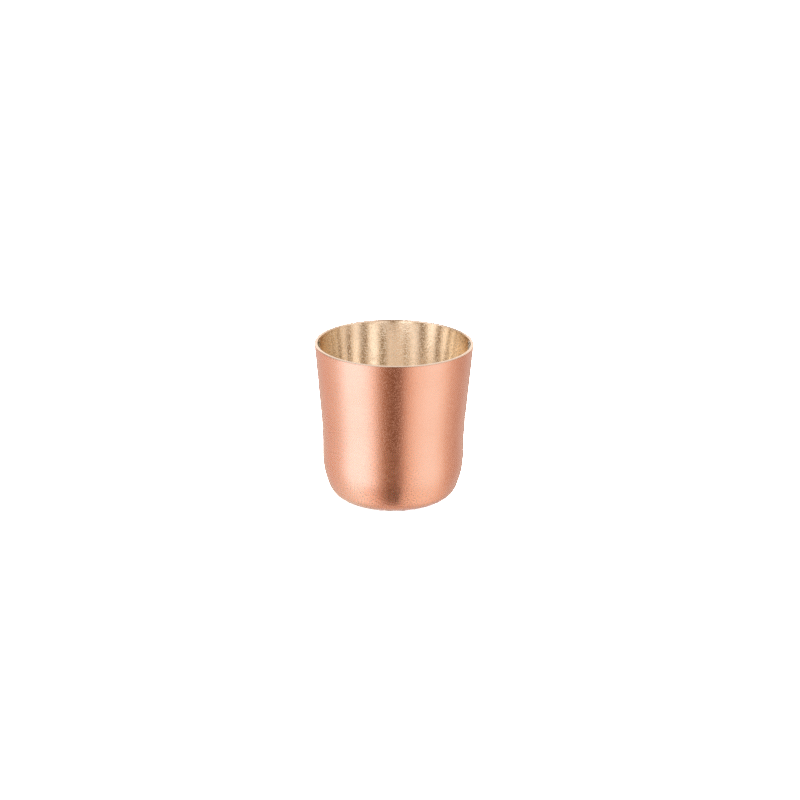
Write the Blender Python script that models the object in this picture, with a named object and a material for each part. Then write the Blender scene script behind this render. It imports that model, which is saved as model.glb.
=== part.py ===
"""A small copper measuring cup (bar jigger) with a tin lining.

Two turned pieces on one upright axis, the centre of the base at the world origin:
  copper_shell  the copper cup
  tin_lining    the thin tin skin inside it, turned out over the copper's rim as a rounded lip
Units are metres, +Z is up. Profiles are lists of (radius, z) points.
"""

from math import asin, cos, degrees, pi, radians, sin, tan

import bmesh
import bpy

# ---- outside (metres, degrees) ----
HEIGHT = 0.0500  # foot to the nominal top of the lip
RIM_RADIUS = 0.02488  # outer radius the tapered wall reaches at full height
BELLY_RADIUS = 0.02233  # outer radius of the upright wall below the waist
TAPER = 5.05  # lean of the upper wall from the vertical, degrees
WAIST_TANGENT = 0.0059  # length over which the taper eases into the upright wall, each way
HAUNCH_RADIUS = 0.0263  # slow curve where the upright wall starts to turn in
HAUNCH_ANGLE = 22.3  # how far that slow curve turns, degrees
CORNER_RADIUS = 0.0055  # tight curve from there to the flat foot

# ---- bore (the inside of the tin) ----
RIM_BORE = 0.02378  # inner radius at full height
BORE_LEAN_TOP = 4.2  # lean of the bore at the rim, degrees
BORE_LEAN_LOW = 5.0  # lean of the bore just above the waist, degrees
FLARE_LENGTH = 0.0250  # height over which the bore's lean grows from one to the other
BORE_EASE = 0.0110  # height over which the bore then eases to upright

# ---- wall and rim ----
TIN_WALL = 0.00020
SEAM_GAP = 0.00005  # bond line between the tin and the copper
LIP_HEIGHT = 0.00020  # thickness of the lip over the copper's edge
RIM_ROUND = 0.00036  # radius of the rim's outer and inner edges
LIP_SLOPE = 4.0  # fall of the lip's top towards the bore, degrees
EDGE_BREAK = 0.00010  # chamfer on the copper's inner top edge

# ---- mesh resolution ----
SEGMENTS = 64  # around the axis
CORNER_STEPS = 5
HAUNCH_STEPS = 4
WAIST_STEPS = 4  # outer waist and the bore's ease
FLARE_STEPS = 2
COPPER_RIM_STEPS = 2
LIP_STEPS = 3
WELD_DISTANCE = 1e-6
LEVEL_TOLERANCE = 1e-7  # how closely an end ring's points must match its height
SHARP_ANGLE = 35  # edges that bend more than this shade sharp, degrees

# ---- levels at the rim ----
LIP_UNDERSIDE = HEIGHT - LIP_HEIGHT
COPPER_TOP = HEIGHT - LIP_HEIGHT - SEAM_GAP
ROUND_LEVEL = HEIGHT - RIM_ROUND  # centre of the outer rounding
TAPER_TOP = ROUND_LEVEL - RIM_ROUND * sin(radians(TAPER))  # where the taper meets the rounding

# ---- the bore's two arcs, worked down from the rim ----
FLARE_RADIUS = FLARE_LENGTH / (sin(radians(BORE_LEAN_LOW)) - sin(radians(BORE_LEAN_TOP)))
FLARE_CENTRE = (
    RIM_BORE - FLARE_RADIUS * cos(radians(BORE_LEAN_TOP)),
    HEIGHT + FLARE_RADIUS * sin(radians(BORE_LEAN_TOP)),
)
EASE_RADIUS = BORE_EASE / sin(radians(BORE_LEAN_LOW))
EASE_CENTRE = (
    FLARE_CENTRE[0] + (FLARE_RADIUS + EASE_RADIUS) * cos(radians(BORE_LEAN_LOW)),
    FLARE_CENTRE[1] - (FLARE_RADIUS + EASE_RADIUS) * sin(radians(BORE_LEAN_LOW)),
)
BELLY_BORE = EASE_CENTRE[0] - EASE_RADIUS
BASE_WALL = BELLY_RADIUS - BELLY_BORE  # copper, bond line and tin together, at belly and base


# ---- profile sections ----
def arc(centre, radius, start, stop, steps):
    """Points on an arc, in degrees: 0 points outwards and positive angles turn down.

    A negative radius gives the opposite side of the circle.
    """
    points = []
    for i in range(steps + 1):
        angle = radians(start + (stop - start) * i / steps)
        points.append((centre[0] + radius * cos(angle), centre[1] - radius * sin(angle)))
    return points


def foot(inward):
    """The turn from the flat foot to the upright wall, moved inward square to its surface."""
    turn = radians(HAUNCH_ANGLE)
    offset = HAUNCH_RADIUS - CORNER_RADIUS  # between the two centres
    haunch = (BELLY_RADIUS - HAUNCH_RADIUS, CORNER_RADIUS + offset * sin(turn))
    corner = (haunch[0] + offset * cos(turn), CORNER_RADIUS)
    points = arc(corner, CORNER_RADIUS - inward, 90, HAUNCH_ANGLE, CORNER_STEPS)
    return points + arc(haunch, HAUNCH_RADIUS - inward, HAUNCH_ANGLE, 0, HAUNCH_STEPS)[1:]


def cone_radius(z):
    """Outer radius of the tapered upper wall at height z."""
    return RIM_RADIUS - (HEIGHT - z) * tan(radians(TAPER))


# centre of the rounding that the tapered wall runs into
RIM_CENTRE = (cone_radius(TAPER_TOP) - RIM_ROUND * cos(radians(TAPER)), ROUND_LEVEL)


def rim_angle(z):
    """Where the rim's outer rounding reaches height z, as an angle for arc()."""
    return -degrees(asin((z - ROUND_LEVEL) / RIM_ROUND))


def outer_wall():
    """The outside of the cup, from the edge of the flat foot up to the rim's rounding."""
    waist_radius = WAIST_TANGENT / tan(radians(TAPER) / 2)
    waist_low = HEIGHT - (RIM_RADIUS - BELLY_RADIUS) / tan(radians(TAPER)) - WAIST_TANGENT
    # the waist bends the other way: its centre lies outside the cup
    waist_centre = (BELLY_RADIUS + waist_radius, waist_low)
    waist = arc(waist_centre, -waist_radius, 0, TAPER, WAIST_STEPS)
    return foot(0.0) + waist + [(cone_radius(TAPER_TOP), TAPER_TOP)]


def bore_wall(skin, top):
    """The bore moved outwards by skin, from the edge of the flat floor up to height top."""
    points = foot(BASE_WALL - skin)
    points += arc(EASE_CENTRE, -(EASE_RADIUS - skin), 0, BORE_LEAN_LOW, WAIST_STEPS)
    lean = degrees(asin((FLARE_CENTRE[1] - top) / (FLARE_RADIUS + skin)))
    return points + arc(FLARE_CENTRE, FLARE_RADIUS + skin, BORE_LEAN_LOW, lean, FLARE_STEPS)[1:]


# ---- whole profiles ----
def copper_profile():
    """Foot, outside wall, start of the rim's rounding, flat top, inside wall, floor."""
    rounding = arc(RIM_CENTRE, RIM_ROUND, TAPER, rim_angle(COPPER_TOP), COPPER_RIM_STEPS)[1:]
    inside = bore_wall(TIN_WALL + SEAM_GAP, COPPER_TOP - EDGE_BREAK)
    chamfer_top = (inside[-1][0] + EDGE_BREAK, COPPER_TOP)
    return outer_wall() + rounding + [chamfer_top] + inside[::-1]


def lining_profile():
    """Underside of the floor, outside of the skin, under and over the lip, the bore, floor."""
    crown = -90 - LIP_SLOPE  # angle at which both roundings meet the lip's sloping top
    outer_round = arc(RIM_CENTRE, RIM_ROUND, rim_angle(LIP_UNDERSIDE), crown, LIP_STEPS)
    fall = (RIM_CENTRE[0] - RIM_BORE - RIM_ROUND) * tan(radians(LIP_SLOPE))
    bore_top = ROUND_LEVEL - fall
    bore = bore_wall(0.0, bore_top)
    inner_centre = (bore[-1][0] + RIM_ROUND, bore_top)
    # the last point of the inner rounding is the top of the bore
    inner_round = arc(inner_centre, RIM_ROUND, crown, -180, LIP_STEPS)[:-1]
    return bore_wall(TIN_WALL, LIP_UNDERSIDE) + outer_round + inner_round + bore[::-1]


# ---- solids and materials ----
def turned(name, profile, material, parent):
    """A closed solid: the profile spun about Z, its first and last rings closed with discs."""
    shape = bmesh.new()
    line = [shape.verts.new((radius, 0.0, z)) for radius, z in profile]
    edges = [shape.edges.new(pair) for pair in zip(line, line[1:])]
    bmesh.ops.spin(
        shape,
        geom=line + edges,
        cent=(0, 0, 0),
        axis=(0, 0, 1),
        dvec=(0, 0, 0),
        angle=2 * pi,
        steps=SEGMENTS,
        use_merge=True,
        use_duplicate=False,
    )
    bmesh.ops.remove_doubles(shape, verts=shape.verts, dist=WELD_DISTANCE)
    for level in (profile[0][1], profile[-1][1]):
        ring = [
            edge
            for edge in shape.edges
            if edge.is_boundary
            and all(abs(vert.co.z - level) < LEVEL_TOLERANCE for vert in edge.verts)
        ]
        bmesh.ops.contextual_create(shape, geom=ring)
    bmesh.ops.recalc_face_normals(shape, faces=shape.faces)
    # a negative volume means the faces point inwards
    if shape.calc_volume(signed=True) < 0:
        bmesh.ops.reverse_faces(shape, faces=shape.faces)

    mesh = bpy.data.meshes.new(name)
    shape.to_mesh(mesh)
    shape.free()
    mesh.shade_smooth()
    mesh.set_sharp_from_angle(angle=radians(SHARP_ANGLE))
    mesh.materials.append(material)
    piece = bpy.data.objects.new(name, mesh)
    piece.parent = parent
    bpy.context.scene.collection.objects.link(piece)


def metal(name, colour, roughness):
    material = bpy.data.materials.new(name)
    material.use_nodes = True
    material.diffuse_color = (*colour, 1.0)
    shader = material.node_tree.nodes["Principled BSDF"]
    shader.inputs["Base Color"].default_value = (*colour, 1.0)
    shader.inputs["Metallic"].default_value = 1.0
    shader.inputs["Roughness"].default_value = roughness
    return material


def upright_axis():
    """The empty at the origin that carries both pieces."""
    axis = bpy.data.objects.new("jigger_axis", None)
    axis.empty_display_type = "SINGLE_ARROW"
    axis.empty_display_size = HEIGHT
    bpy.context.scene.collection.objects.link(axis)
    return axis


for old in list(bpy.data.objects):
    bpy.data.objects.remove(old, do_unlink=True)

jigger_axis = upright_axis()
copper = metal("brushed_copper", colour=(0.80, 0.42, 0.30), roughness=0.32)
tin = metal("wiped_tin", colour=(0.78, 0.70, 0.58), roughness=0.28)
turned("copper_shell", copper_profile(), copper, parent=jigger_axis)
turned("tin_lining", lining_profile(), tin, parent=jigger_axis)
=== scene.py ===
"""A copper bar jigger with a wiped tin lining, on a plain white floor under soft studio light.

The cup stands on the Z axis with its foot at z = 0 and its mouth up; the camera is on the -Y side.
Finely turned meshes replace the two CAD pieces, so that the metal's reflections are clean.
The light is a world shader laid out round the camera: a soft white room with a long vertical
light panel at each side, and a darker gap behind the camera.
"""

import math

import bpy
import numpy as np
from mathutils import Matrix, Vector


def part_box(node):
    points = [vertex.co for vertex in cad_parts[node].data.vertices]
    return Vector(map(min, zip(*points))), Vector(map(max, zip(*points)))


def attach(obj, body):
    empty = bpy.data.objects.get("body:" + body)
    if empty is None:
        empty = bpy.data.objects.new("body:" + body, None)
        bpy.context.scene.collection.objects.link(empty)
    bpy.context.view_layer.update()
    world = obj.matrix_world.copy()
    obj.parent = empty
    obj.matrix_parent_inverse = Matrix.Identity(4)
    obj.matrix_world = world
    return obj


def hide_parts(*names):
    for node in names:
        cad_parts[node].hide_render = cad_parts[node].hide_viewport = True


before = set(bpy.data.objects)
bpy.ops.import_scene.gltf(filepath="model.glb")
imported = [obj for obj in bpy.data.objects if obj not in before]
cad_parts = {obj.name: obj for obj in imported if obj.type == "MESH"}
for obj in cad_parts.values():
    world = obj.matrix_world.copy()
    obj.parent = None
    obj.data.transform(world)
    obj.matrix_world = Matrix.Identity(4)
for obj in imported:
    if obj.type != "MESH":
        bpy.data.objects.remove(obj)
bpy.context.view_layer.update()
scene = bpy.context.scene


def sine(degrees):
    return math.sin(math.radians(degrees))


def cosine(degrees):
    return math.cos(math.radians(degrees))


def tangent(degrees):
    return math.tan(math.radians(degrees))


# ---------------------------------------------------------------- sizes: metres and degrees
LINING_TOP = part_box("tin_lining")[1].z
SHELL_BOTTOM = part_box("copper_shell")[0].z
HEIGHT = LINING_TOP - SHELL_BOTTOM
SCALE = HEIGHT / 0.0500  # the sizes below are for a cup 50 mm tall
# outside
RIM_RADIUS = 0.02488 * SCALE
BELLY_RADIUS = 0.02233 * SCALE
TAPER = 5.05  # lean of the upper wall
WAIST_TANGENT = 0.0059 * SCALE  # from the waist's corner to each end of its rounding
HAUNCH_RADIUS = 0.0263 * SCALE  # the slow curve between foot corner and belly
HAUNCH_ANGLE = 22.3
CORNER_RADIUS = 0.0055 * SCALE
# bore
RIM_BORE = 0.02378 * SCALE
BORE_LEAN_TOP = 4.2
BORE_LEAN_LOW = 5.0
FLARE_LENGTH = 0.0250 * SCALE
BORE_EASE = 0.0110 * SCALE  # height over which the flare eases into the upright bore
# wall
TIN_WALL = 0.00020 * SCALE
SEAM_GAP = 0.00005 * SCALE
LIP_HEIGHT = 0.00020 * SCALE
RIM_ROUND = 0.00036 * SCALE
LIP_SLOPE = 4.0
EDGE_BREAK = 0.00010 * SCALE
LIP_UNDERSIDE = HEIGHT - LIP_HEIGHT
COPPER_TOP = HEIGHT - LIP_HEIGHT - SEAM_GAP
SEGMENTS = 300

# points are (radius, height)
FLARE_RADIUS = FLARE_LENGTH / (sine(BORE_LEAN_LOW) - sine(BORE_LEAN_TOP))
FLARE_CENTRE = (
    RIM_BORE - FLARE_RADIUS * cosine(BORE_LEAN_TOP),
    HEIGHT + FLARE_RADIUS * sine(BORE_LEAN_TOP),
)
EASE_RADIUS = BORE_EASE / sine(BORE_LEAN_LOW)
EASE_CENTRE = (
    FLARE_CENTRE[0] + (FLARE_RADIUS + EASE_RADIUS) * cosine(BORE_LEAN_LOW),
    FLARE_CENTRE[1] - (FLARE_RADIUS + EASE_RADIUS) * sine(BORE_LEAN_LOW),
)
BASE_WALL = BELLY_RADIUS - (EASE_CENTRE[0] - EASE_RADIUS)


def cone_radius(z):
    """Radius of the tapered outer wall at height z."""
    return RIM_RADIUS - (HEIGHT - z) * tangent(TAPER)


# the outer rounding of the rim, and the height where the tapered wall runs into it
ROUND_LEVEL = HEIGHT - RIM_ROUND
TAPER_END = ROUND_LEVEL - RIM_ROUND * sine(TAPER)
RIM_CENTRE = (cone_radius(TAPER_END) - RIM_ROUND * cosine(TAPER), ROUND_LEVEL)


# ---------------------------------------------------------------- profiles
def arc(centre, radius, start, stop, steps):
    """Points on an arc; 0 degrees points outwards and positive angles turn down.
    A negative radius makes 0 degrees point inwards and positive angles turn up."""
    angles = [start + (stop - start) * i / steps for i in range(steps + 1)]
    return [(centre[0] + radius * cosine(a), centre[1] - radius * sine(a)) for a in angles]


def line(start, stop, steps):
    """Points on a straight line, without its start."""
    (r0, z0), (r1, z1) = start, stop
    return [(r0 + (r1 - r0) * i / steps, z0 + (z1 - z0) * i / steps) for i in range(1, steps + 1)]


def disc(edge, steps):
    """Points from the edge of a flat disc in to its centre, without either end."""
    return [(edge[0] * (1 - i / steps), edge[1]) for i in range(1, steps)]


def foot_turn(inward):
    """The turn from the flat foot to the upright wall, moved inward square to its surface."""
    offset = HAUNCH_RADIUS - CORNER_RADIUS
    haunch = (BELLY_RADIUS - HAUNCH_RADIUS, CORNER_RADIUS + offset * sine(HAUNCH_ANGLE))
    corner = (haunch[0] + offset * cosine(HAUNCH_ANGLE), CORNER_RADIUS)
    points = arc(corner, CORNER_RADIUS - inward, 90, HAUNCH_ANGLE, 24)
    return points + arc(haunch, HAUNCH_RADIUS - inward, HAUNCH_ANGLE, 0, 18)[1:]


def outer_wall():
    """The outside of the cup, from the edge of the flat foot up to the rim's rounding."""
    waist_radius = WAIST_TANGENT / math.tan(math.radians(TAPER) / 2)
    waist_low = HEIGHT - (RIM_RADIUS - BELLY_RADIUS) / tangent(TAPER) - WAIST_TANGENT
    waist_centre = (BELLY_RADIUS + waist_radius, waist_low)
    points = foot_turn(0.0) + arc(waist_centre, -waist_radius, 0, TAPER, 16)
    return points + line(points[-1], (cone_radius(TAPER_END), TAPER_END), 12)


def bore_wall(skin, top):
    """The bore moved outwards by skin, from the edge of the flat floor up to height top."""
    points = foot_turn(BASE_WALL - skin)
    points += arc(EASE_CENTRE, -(EASE_RADIUS - skin), 0, BORE_LEAN_LOW, 16)
    lean = math.degrees(math.asin((FLARE_CENTRE[1] - top) / (FLARE_RADIUS + skin)))
    return points + arc(FLARE_CENTRE, FLARE_RADIUS + skin, BORE_LEAN_LOW, lean, 14)[1:]


def rim_angle(z):
    """Where the rim's rounding reaches height z, as an angle for arc()."""
    return -math.degrees(math.asin((z - ROUND_LEVEL) / RIM_ROUND))


def copper_profile():
    outside = outer_wall() + arc(RIM_CENTRE, RIM_ROUND, TAPER, rim_angle(COPPER_TOP), 6)[1:]
    edge_level = COPPER_TOP - EDGE_BREAK
    inside = bore_wall(TIN_WALL + SEAM_GAP, edge_level)
    edge = arc((inside[-1][0] + EDGE_BREAK, edge_level), EDGE_BREAK, -90, -180, 4)[:-1]
    return disc(outside[0], 12)[::-1] + outside + edge + inside[::-1] + disc(inside[0], 6)


def lining_profile():
    outside = bore_wall(TIN_WALL, LIP_UNDERSIDE)
    # the lip: outer rounding, a gentle inward slope, then the rounding into the bore
    outer = arc(RIM_CENTRE, RIM_ROUND, rim_angle(LIP_UNDERSIDE), -90 - LIP_SLOPE, 10)
    inner_level = ROUND_LEVEL - (RIM_CENTRE[0] - RIM_BORE - RIM_ROUND) * tangent(LIP_SLOPE)
    inside = bore_wall(0.0, inner_level)
    inner_centre = (inside[-1][0] + RIM_ROUND, inner_level)
    inner = arc(inner_centre, RIM_ROUND, -90 - LIP_SLOPE, -180, 12)[:-1]
    lip = outer + line(outer[-1], inner[0], 4)[:-1] + inner
    return disc(outside[0], 6)[::-1] + outside + lip + inside[::-1] + disc(inside[0], 14)


# ---------------------------------------------------------------- turned pieces
def turned(name, profile):
    """A closed turned mesh. The profile runs from the foot's centre, up the outside, and down
    the inside to the floor's centre. Each point keeps its distance along the profile, which
    the materials use for their turning marks."""
    radius, height = np.array(profile, float).T
    steps = np.hypot(np.diff(radius, prepend=0.0), np.diff(height, prepend=height[0]))
    along = np.cumsum(steps)
    angle = np.arange(SEGMENTS) * 2 * math.pi / SEGMENTS
    axes = [np.cos(angle), np.sin(angle)]
    x, y = [np.outer(radius, axis) for axis in axes]
    z = np.repeat(height[:, None], SEGMENTS, axis=1)
    rings = np.stack([x, y, z], axis=2).reshape(-1, 3)
    points = np.vstack([rings, [0, 0, height[0]], [0, 0, height[-1]]])
    first_centre, last_centre = len(rings), len(rings) + 1
    last_ring = len(rings) - SEGMENTS
    sides = [(j, (j + 1) % SEGMENTS) for j in range(SEGMENTS)]
    faces = []
    for low in range(0, last_ring, SEGMENTS):
        high = low + SEGMENTS
        faces += [(low + j, low + k, high + k, high + j) for j, k in sides]
    for j, k in sides:
        faces.append((first_centre, k, j))
        faces.append((last_centre, last_ring + j, last_ring + k))
    mesh = bpy.data.meshes.new(name)
    mesh.from_pydata(points.tolist(), [], faces)
    mesh.update()
    mesh.shade_smooth()
    store = mesh.attributes.new("along", "FLOAT", "POINT")
    values = np.concatenate([np.repeat(along, SEGMENTS), [0.0], [along[-1] + radius[-1]]])
    store.data.foreach_set("value", values.astype(np.float32))
    made = bpy.data.objects.new(name, mesh)
    scene.collection.objects.link(made)
    return made


def add_piece(cad_name, profile, make_material):
    """A turned piece that takes the place of the CAD piece cad_name."""
    made = turned(cad_name + "_fine", profile)
    made.data.materials.append(make_material())
    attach(made, "root")
    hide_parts(cad_name)


# ---------------------------------------------------------------- node helpers
class Nodes:
    """Builds the node tree of a material or world. Helpers return output sockets."""

    def __init__(self, owner):
        owner.use_nodes = True
        self.tree = owner.node_tree
        self.tree.nodes.clear()

    def add(self, kind, inputs=(), **settings):
        """A node; inputs is a sequence in socket order, or a dict by socket name or index."""
        node = self.tree.nodes.new(kind)
        for key, value in settings.items():
            setattr(node, key, value)
        for key, value in inputs.items() if isinstance(inputs, dict) else enumerate(inputs):
            socket = node.inputs[key]
            if isinstance(value, bpy.types.NodeSocket):
                self.tree.links.new(value, socket)
            elif socket.type == "RGBA":
                socket.default_value = (*value, 1.0)
            else:
                socket.default_value = value
        return node

    def math(self, operation, *values):
        return self.add("ShaderNodeMath", values, operation=operation).outputs[0]

    def times(self, a, b):
        return self.math("MULTIPLY", a, b)

    def plus(self, a, b):
        return self.math("ADD", a, b)

    def combine(self, x, y, z):
        return self.add("ShaderNodeCombineXYZ", (x, y, z)).outputs[0]

    def separate(self, vector):
        return self.add("ShaderNodeSeparateXYZ", (vector,)).outputs[:3]

    def noise(self, vector, scale, detail=2.0, roughness=0.5):
        inputs = {"Vector": vector, "Scale": scale, "Detail": detail, "Roughness": roughness}
        return self.add("ShaderNodeTexNoise", inputs).outputs[0]

    def ramp(self, value, start, end, at_start=0.0, at_end=1.0, kind="SMOOTHSTEP"):
        """Goes from at_start to at_end while value goes from start to end."""
        inputs = (value, start, end, at_start, at_end)
        return self.add("ShaderNodeMapRange", inputs, interpolation_type=kind).outputs[0]

    def linear(self, value, start, end, at_start=0.0, at_end=1.0):
        return self.ramp(value, start, end, at_start, at_end, kind="LINEAR")

    def mix(self, factor, a, b, blend="MIX"):
        inputs = {0: factor, 6: a, 7: b}  # the colour sockets of the mix node
        return self.add("ShaderNodeMix", inputs, data_type="RGBA", blend_type=blend).outputs[2]

    def tint(self, colour, by):
        return self.mix(1.0, colour, by, blend="MULTIPLY")

    def bump(self, height, distance, over=None):
        """Bump of the given depth in metres, laid over an earlier bump."""
        inputs = {"Height": height, "Distance": distance, "Strength": 1.0}
        if over is not None:
            inputs["Normal"] = over
        return self.add("ShaderNodeBump", inputs).outputs[0]

    def turning_space(self):
        """Unit vector out from the axis, distance along the profile, and position."""
        place = self.add("ShaderNodeTexCoord").outputs["Object"]
        x, y, _ = self.separate(place)
        level = (self.combine(x, y, 0.0),)
        outward = self.add("ShaderNodeVectorMath", level, operation="NORMALIZE").outputs[0]
        along = self.add(
            "ShaderNodeAttribute", attribute_type="GEOMETRY", attribute_name="along"
        )
        return outward, along.outputs["Fac"], place

    def turning_lines(self, outward, along, per_metre, round_scale, detail):
        """Noise that changes fast along the profile and slowly round the axis."""
        x, y, _ = self.separate(outward)
        spot = self.combine(
            self.times(x, round_scale), self.times(y, round_scale), self.times(along, per_metre)
        )
        return self.noise(spot, scale=1.0, detail=detail, roughness=0.6)

    def output(self, kind, surface):
        self.add(kind, {"Surface": surface})


# ---------------------------------------------------------------- materials
def copper_material():
    """Satin copper: an even grain, faint turning marks, painted shade under the lip, a worn sole,
    and painted contact shade on the corner over the table.
    """
    made = bpy.data.materials.new("satin_copper")
    nodes = Nodes(made)
    ramp, linear, mix = nodes.ramp, nodes.linear, nodes.mix
    outward, along, place = nodes.turning_space()
    z = nodes.separate(place)[2]
    # patterns
    fine = nodes.turning_lines(outward, along, per_metre=6500.0, round_scale=12.0, detail=2.0)
    broad = nodes.turning_lines(outward, along, per_metre=700.0, round_scale=1.6, detail=3.0)
    grain = nodes.noise(place, scale=2600.0, detail=3.0, roughness=0.6)
    pits = ramp(nodes.noise(place, scale=2900.0, detail=1.0), start=0.46, end=0.62)
    cloud = nodes.noise(place, scale=95.0, detail=3.0, roughness=0.55)
    # zones by height: painted shade under the lip, the worn sole, and painted contact shade on the
    # corner that turns in over the table
    painted_lip_shade = ramp(z, start=COPPER_TOP - 0.00030 * SCALE, end=COPPER_TOP - 0.00008 * SCALE)
    sole = ramp(z, start=0.00030 * SCALE, end=0.00004 * SCALE)
    corner = ramp(z, start=0.00220 * SCALE, end=0.00090 * SCALE)

    light_copper, deep_copper = (0.897, 0.446, 0.316), (0.877, 0.426, 0.297)
    line_colour, pit_colour = (0.62, 0.24, 0.14), (0.975, 0.55, 0.41)
    painted_lip_shade_colour, sole_colour = (0.50, 0.24, 0.16), (0.97, 0.66, 0.52)
    painted_contact_shade_tint = (0.80, 0.74, 0.72)
    base = mix(ramp(cloud, start=0.35, end=0.68), light_copper, deep_copper)
    base = mix(linear(fine, start=0.3, end=0.7, at_end=0.05), base, line_colour)
    base = mix(nodes.times(pits, 0.65), base, pit_colour)
    # painted shade: a darker line on the copper just under the lip
    base = mix(nodes.times(painted_lip_shade, 0.30), base, painted_lip_shade_colour)
    # painted contact shade: the corner that turns in over the table is darkened
    base = mix(corner, base, nodes.tint(base, by=painted_contact_shade_tint))
    worn = nodes.times(sole, ramp(grain, start=0.40, end=0.62, at_end=0.5))
    base = mix(worn, base, sole_colour)

    pit_roughness, sole_roughness = 0.160, 0.12  # added to the bare metal's
    rough = linear(broad, start=0.3, end=0.7, at_start=0.165, at_end=0.195)
    rough = nodes.plus(rough, nodes.times(pits, pit_roughness))
    rough = nodes.plus(rough, nodes.times(sole, sole_roughness))

    normal = nodes.bump(pits, distance=8.0e-6)
    normal = nodes.bump(fine, distance=0.8e-6, over=normal)
    normal = nodes.bump(cloud, distance=6.0e-6, over=normal)
    round_axis = nodes.add("ShaderNodeTangent", direction_type="RADIAL", axis="Z")
    shader = nodes.add("ShaderNodeBsdfPrincipled", {
        "Base Color": base,
        "Roughness": rough,
        "Normal": normal,
        "Tangent": round_axis.outputs[0],
        "Metallic": 1.0,
        "Anisotropic": linear(pits, start=0.0, end=1.0, at_start=0.5, at_end=0.0),
        "Anisotropic Rotation": 0.25,
    })
    nodes.output("ShaderNodeOutputMaterial", shader.outputs[0])
    return made


def tin_material():
    """Wiped tin: bright, with a crackled skin in the bore, faint rings, and a smooth lip."""
    made = bpy.data.materials.new("wiped_tin")
    nodes = Nodes(made)
    ramp, linear, mix, times = nodes.ramp, nodes.linear, nodes.mix, nodes.times
    outward, along, place = nodes.turning_space()
    x, _, z = nodes.separate(place)
    bore = ramp(z, start=HEIGHT - 0.00030 * SCALE, end=HEIGHT - 0.0011 * SCALE)
    rim = ramp(z, start=HEIGHT - 0.00060 * SCALE, end=HEIGHT - 0.00030 * SCALE)
    # patterns
    rings = nodes.turning_lines(outward, along, per_metre=1900.0, round_scale=1.2, detail=2.0)
    wiped = nodes.noise(place, scale=450.0)
    crackle = nodes.noise(place, scale=1500.0, detail=3.0, roughness=0.62)
    cloud = nodes.noise(place, scale=160.0, detail=3.0)
    # the pitted skin shows only to the camera; its images deeper in the bore stay clear
    eye = nodes.add("ShaderNodeLightPath").outputs["Is Camera Ray"]
    grazing = nodes.add("ShaderNodeLayerWeight", {"Blend": 0.5}).outputs["Facing"]
    pits = times(ramp(nodes.noise(place, scale=2600.0, detail=1.0), start=0.46, end=0.64), eye)
    pits = times(pits, ramp(grazing, start=0.40, end=0.80, at_start=1.0, at_end=0.5))

    # colours in reflections, then those the camera meets
    light_tin, deep_tin = (0.915, 0.870, 0.815), (0.905, 0.857, 0.798)
    light_skin, deep_skin = (0.930, 0.785, 0.670), (0.900, 0.755, 0.635)
    grazing_skin, painted_light_skin = (0.980, 0.760, 0.510), (0.985, 0.820, 0.640)
    painted_shade_tint = (0.84, 0.81, 0.70)
    pit_colour, rim_colour = (0.97, 0.88, 0.76), (0.87, 0.69, 0.56)
    clouded = ramp(cloud, start=0.35, end=0.65)
    base = mix(clouded, light_tin, deep_tin)
    skin = mix(clouded, light_skin, deep_skin)
    skin = mix(ramp(grazing, start=0.45, end=0.85), skin, grazing_skin)
    # painted shade: darker and more golden on the -X side; painted light: lighter on the +X side
    left = ramp(x, start=-0.0150 * SCALE, end=-0.0195 * SCALE)
    skin = mix(left, skin, nodes.tint(skin, by=painted_shade_tint))
    # painted light: the +X side of the bore is made lighter
    right = ramp(x, start=0.0140 * SCALE, end=0.0190 * SCALE)
    skin = mix(right, skin, painted_light_skin)
    base = mix(eye, base, skin)
    base = mix(pits, base, pit_colour)
    base = mix(rim, base, rim_colour)

    pit_roughness, rim_roughness = 0.175, 0.10  # added to the bare metal's
    rough = linear(crackle, start=0.3, end=0.7, at_start=0.04, at_end=0.07)
    rough = nodes.plus(rough, times(pits, pit_roughness))
    rough = nodes.plus(rough, times(rim, rim_roughness))

    normal = nodes.bump(wiped, distance=9.0e-6)
    # the crackle is fainter in reflections
    crackle_depth = times(bore, linear(eye, start=0.0, end=1.0, at_start=0.3, at_end=1.0))
    normal = nodes.bump(times(crackle, crackle_depth), distance=12.0e-6, over=normal)
    normal = nodes.bump(times(pits, bore), distance=1.5e-6, over=normal)
    # the rings are deeper in one band of the bore
    band_height = 0.0388 * SCALE
    from_band = nodes.math("ABSOLUTE", nodes.math("SUBTRACT", z, band_height))
    marks = ramp(
        from_band, start=0.0022 * SCALE, end=0.0008 * SCALE, at_start=1.0, at_end=3.2
    )
    normal = nodes.bump(times(times(rings, marks), bore), distance=1.5e-6, over=normal)

    # a dull veil where the bore is seen edge-on, just inside the lip
    within = ramp(z, start=HEIGHT - 0.00035 * SCALE, end=HEIGHT - 0.00065 * SCALE)
    edge_on = ramp(grazing, start=0.68, end=0.87, at_end=0.30)
    veil = times(times(edge_on, eye), within)
    shader = nodes.add("ShaderNodeBsdfPrincipled", {
        "Base Color": base,
        "Roughness": rough,
        "Normal": normal,
        "Metallic": nodes.math("SUBTRACT", 1.0, veil),
    })
    nodes.output("ShaderNodeOutputMaterial", shader.outputs[0])
    return made


add_piece("copper_shell", copper_profile(), copper_material)
add_piece("tin_lining", lining_profile(), tin_material)

# ---------------------------------------------------------------- floor
FLOOR_HALF_SIDE = 6.0
FLOOR_CLEARANCE = 0.00002  # below the foot
FLOOR_COLOUR = (0.9, 0.9, 0.9)


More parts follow.
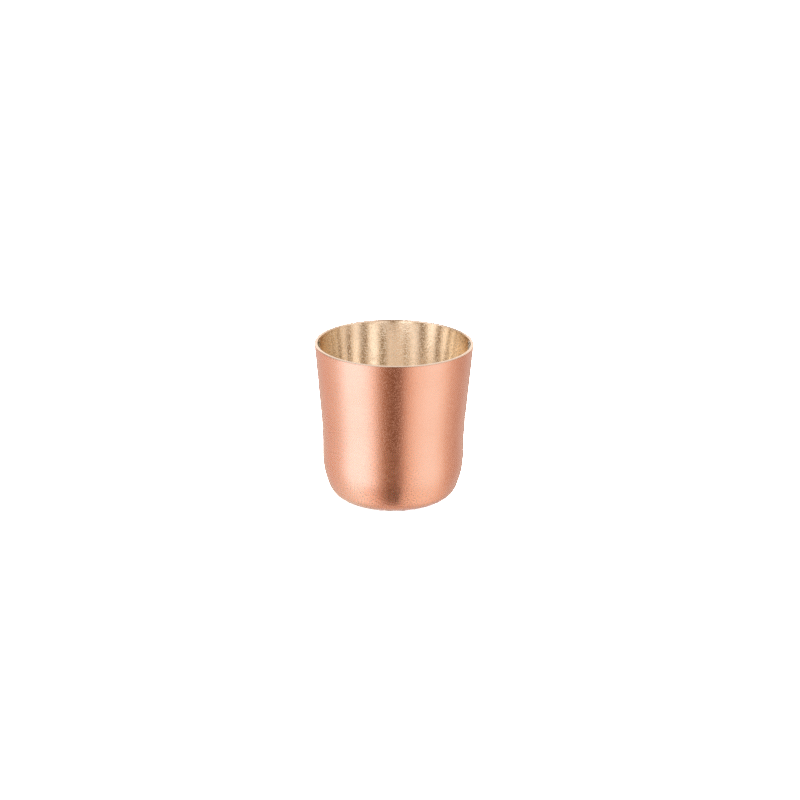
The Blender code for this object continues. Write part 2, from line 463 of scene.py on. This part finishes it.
def white_floor():
    """A square floor that the metal doesn't reflect."""
    mesh = bpy.data.meshes.new("floor")
    signs = ((-1, -1), (1, -1), (1, 1), (-1, 1))
    corners = [(x * FLOOR_HALF_SIDE, y * FLOOR_HALF_SIDE, 0) for x, y in signs]
    mesh.from_pydata(corners, [], [(0, 1, 2, 3)])
    made = bpy.data.objects.new("floor", mesh)
    scene.collection.objects.link(made)
    made.location.z = SHELL_BOTTOM - FLOOR_CLEARANCE
    made.visible_glossy = False
    material = bpy.data.materials.new("white_floor")
    nodes = Nodes(material)
    shader = nodes.add("ShaderNodeBsdfDiffuse", {"Color": FLOOR_COLOUR})
    nodes.output("ShaderNodeOutputMaterial", shader.outputs[0])
    mesh.materials.append(material)


white_floor()

# ---------------------------------------------------------------- studio light
# Each ring lists (azimuth, light seen there). Azimuth is in degrees from the camera's side,
# positive to the right of the picture.
# Level with the cup's wall and a little below: a strong panel on the left, a weaker one on the
# right, a dark gap at the camera, and greyer light beyond the cup.
LOW_RING = [
    (-180, (0.64, 0.51, 0.45)), (-165, (0.73, 0.62, 0.57)), (-155, (0.77, 0.70, 0.65)),
    (-145, (0.78, 0.72, 0.67)), (-130, (0.81, 0.67, 0.61)), (-112, (0.86, 0.76, 0.69)),
    (-98, (0.93, 0.89, 0.84)), (-86, (1.12, 1.28, 1.36)), (-76, (1.45, 1.74, 1.98)),
    (-48, (1.45, 1.76, 2.00)), (-38, (1.35, 1.54, 1.68)), (-29, (1.08, 1.08, 1.02)),
    (-20, (0.62, 0.46, 0.35)), (-11, (0.37, 0.24, 0.16)), (-1, (0.25, 0.16, 0.11)),
    (9, (0.30, 0.20, 0.15)), (15, (0.62, 0.46, 0.38)), (24, (0.94, 0.80, 0.68)),
    (36, (1.10, 1.10, 1.05)), (54, (1.15, 1.30, 1.33)), (72, (1.14, 1.26, 1.28)),
    (84, (1.06, 1.05, 0.98)), (96, (0.82, 0.70, 0.61)), (120, (0.64, 0.51, 0.44)),
    (145, (0.73, 0.68, 0.65)), (155, (0.70, 0.61, 0.57)), (165, (0.69, 0.58, 0.53)),
]
# Well below the cup: the same lights, fainter and wider, over the table.
DOWN_RING = [
    (-180, (0.86, 1.05, 1.12)), (-155, (0.82, 0.90, 0.90)), (-130, (0.84, 0.83, 0.77)),
    (-96, (1.02, 1.08, 1.03)), (-78, (1.14, 1.26, 1.27)), (-60, (1.12, 1.14, 1.08)),
    (-44, (1.00, 0.87, 0.76)), (-29, (0.66, 0.47, 0.37)), (-15, (0.27, 0.17, 0.11)),
    (-1, (0.13, 0.075, 0.05)), (12, (0.16, 0.09, 0.06)), (22, (0.88, 0.72, 0.62)),
    (44, (1.02, 0.95, 0.84)), (62, (1.08, 1.06, 0.97)), (90, (1.05, 1.00, 0.92)),
    (115, (0.90, 0.78, 0.66)), (140, (0.66, 0.60, 0.56)), (160, (0.76, 0.82, 0.86)),
]
# Above the cup's rim: the same panels, a softer gap, and bright light beyond the cup.
HIGH_RING = [
    (-180, (1.15, 1.08, 1.01)), (-150, (1.26, 1.18, 1.10)), (-132, (0.76, 0.68, 0.58)),
    (-113, (0.41, 0.33, 0.23)), (-99, (0.56, 0.46, 0.35)), (-86, (1.02, 0.98, 0.84)),
    (-76, (1.80, 1.82, 1.84)), (-40, (1.96, 2.02, 2.08)), (-30, (1.50, 1.52, 1.48)),
    (-18, (1.00, 0.91, 0.80)), (-8, (0.56, 0.48, 0.38)), (5, (0.36, 0.29, 0.22)),
    (18, (0.53, 0.45, 0.37)), (31, (1.00, 0.98, 0.95)), (44, (1.44, 1.44, 1.44)),
    (70, (1.50, 1.50, 1.48)), (84, (1.14, 1.06, 0.96)), (99, (0.76, 0.66, 0.55)),
    (113, (0.73, 0.64, 0.54)), (130, (1.08, 1.01, 0.92)), (150, (1.10, 1.00, 0.91)),
]
# Overhead: the panels lean in over the cup, and between them is the shade above the camera.
OVER_RING = [
    (-180, (0.85, 0.84, 0.84)), (-120, (0.66, 0.61, 0.56)), (-80, (0.72, 0.68, 0.63)),
    (-55, (1.05, 1.02, 0.98)), (-28, (1.20, 1.18, 1.12)), (-16, (0.90, 0.84, 0.76)),
    (-8, (0.36, 0.29, 0.23)), (14, (0.32, 0.25, 0.20)), (26, (0.70, 0.62, 0.54)),
    (42, (0.98, 0.92, 0.85)), (70, (1.05, 1.00, 0.93)), (110, (0.80, 0.74, 0.68)),
]
CEILING = (0.62, 0.58, 0.54)
TABLE = (0.73, 0.61, 0.54)
RAMP_SCALE = 2.0  # colours are stored divided by this, and the light's strength restores them
WHITE = (1.0, 1.0, 1.0)
DIFFUSE_STRENGTH = 24.0  # the even white light on matt surfaces
BACKDROP_STRENGTH = 1.0  # the white seen by the camera


def stored(colour):
    return tuple(c / RAMP_SCALE for c in colour)


def ring_ramp(nodes, position, ring):
    """The ring's colour at position, which goes from 0 to 1 once round."""
    node = nodes.add("ShaderNodeValToRGB", (position,))
    elements = node.color_ramp.elements
    node.color_ramp.interpolation = "LINEAR"
    stops = ring + [(180, ring[0][1])]
    while len(elements) < len(stops):
        elements.new(0.5)
    for element, (azimuth, _) in zip(elements, stops):
        element.position = (azimuth + 180) / 360
    for element, (_, colour) in zip(elements, stops):
        element.color = (*stored(colour), 1.0)
    return node.outputs[0]


def to_camera(nodes, vector):
    """A world vector as its parts to the camera's right, up and ahead."""
    node = nodes.add(
        "ShaderNodeVectorTransform", (vector,),
        vector_type="VECTOR", convert_from="WORLD", convert_to="CAMERA",
    )
    return nodes.separate(node.outputs[0])


def background(nodes, colour, strength):
    return nodes.add("ShaderNodeBackground", (colour, strength)).outputs[0]


def studio_world():
    world = bpy.data.worlds.new("studio")
    scene.world = world
    nodes = Nodes(world)
    direction = nodes.add("ShaderNodeTexCoord").outputs["Generated"]
    right, _, ahead = to_camera(nodes, direction)
    _, up_y, up_ahead = to_camera(nodes, (0.0, 0.0, 1.0))
    height = nodes.separate(direction)[2]
    # horizontal distance ahead of the camera: (ahead - up_ahead * height) / up_y
    level = nodes.math("SUBTRACT", ahead, nodes.times(up_ahead, height))
    level = nodes.math("DIVIDE", level, up_y)
    azimuth = nodes.math("ARCTAN2", right, nodes.times(level, -1.0))
    position = nodes.plus(nodes.math("DIVIDE", azimuth, 2 * math.pi), 0.5)
    down, low, high, over = [
        ring_ramp(nodes, position, ring) for ring in (DOWN_RING, LOW_RING, HIGH_RING, OVER_RING)
    ]
    # each layer fades in over the last between two values of the direction's height
    room = low
    for start, end, layer in (
        (-0.48, -0.74, down),
        (-0.83, -0.99, stored(TABLE)),
        (-0.10, 0.12, high),
        (0.42, 0.53, over),
        (0.90, 0.99, stored(CEILING)),
    ):
        room = nodes.mix(nodes.ramp(height, start, end), room, layer)
    reflected = background(nodes, room, RAMP_SCALE)
    dome = background(nodes, WHITE, DIFFUSE_STRENGTH)
    backdrop = background(nodes, WHITE, BACKDROP_STRENGTH)
    path = nodes.add("ShaderNodeLightPath").outputs
    light = nodes.add("ShaderNodeMixShader", (path["Is Diffuse Ray"], reflected, dome))
    light = light.outputs[0]
    seen = nodes.add("ShaderNodeMixShader", (path["Is Camera Ray"], light, backdrop))
    nodes.output("ShaderNodeOutputWorld", seen.outputs[0])


studio_world()

# light paths: the cup's inside needs several mirror bounces before a ray leaves by the mouth
scene.cycles.max_bounces = 20
scene.cycles.glossy_bounces = 16
scene.view_settings.view_transform = "Standard"

# ---------------------------------------------------------------- camera
CAMERA_DISTANCE = 12.0 * HEIGHT  # from the cup's centre
CAMERA_ELEVATION = 19.7
SENSOR_WIDTH = 36.0  # millimetres
FOCAL_LENGTH = 85.644  # millimetres
# turns from a straight aim at the cup's centre, about the camera's own axes, in this order
AIM_TURNS = (("Z", 0.491), ("X", 0.528327), ("Y", -0.196886))


def add_camera():
    data = bpy.data.cameras.new("camera")
    data.sensor_width = SENSOR_WIDTH
    data.lens = FOCAL_LENGTH
    data.clip_start = 0.01
    data.clip_end = 50.0
    made = bpy.data.objects.new("camera", data)
    scene.collection.objects.link(made)
    centre = Vector((0, 0, SHELL_BOTTOM + HEIGHT / 2))
    back = Vector((0, -cosine(CAMERA_ELEVATION), sine(CAMERA_ELEVATION)))
    turn = (-back).to_track_quat("-Z", "Y").to_matrix()
    for axis, degrees in AIM_TURNS:
        turn = turn @ Matrix.Rotation(math.radians(degrees), 3, axis)
    made.matrix_world = Matrix.Translation(centre + back * CAMERA_DISTANCE) @ turn.to_4x4()
    scene.camera = made


add_camera()
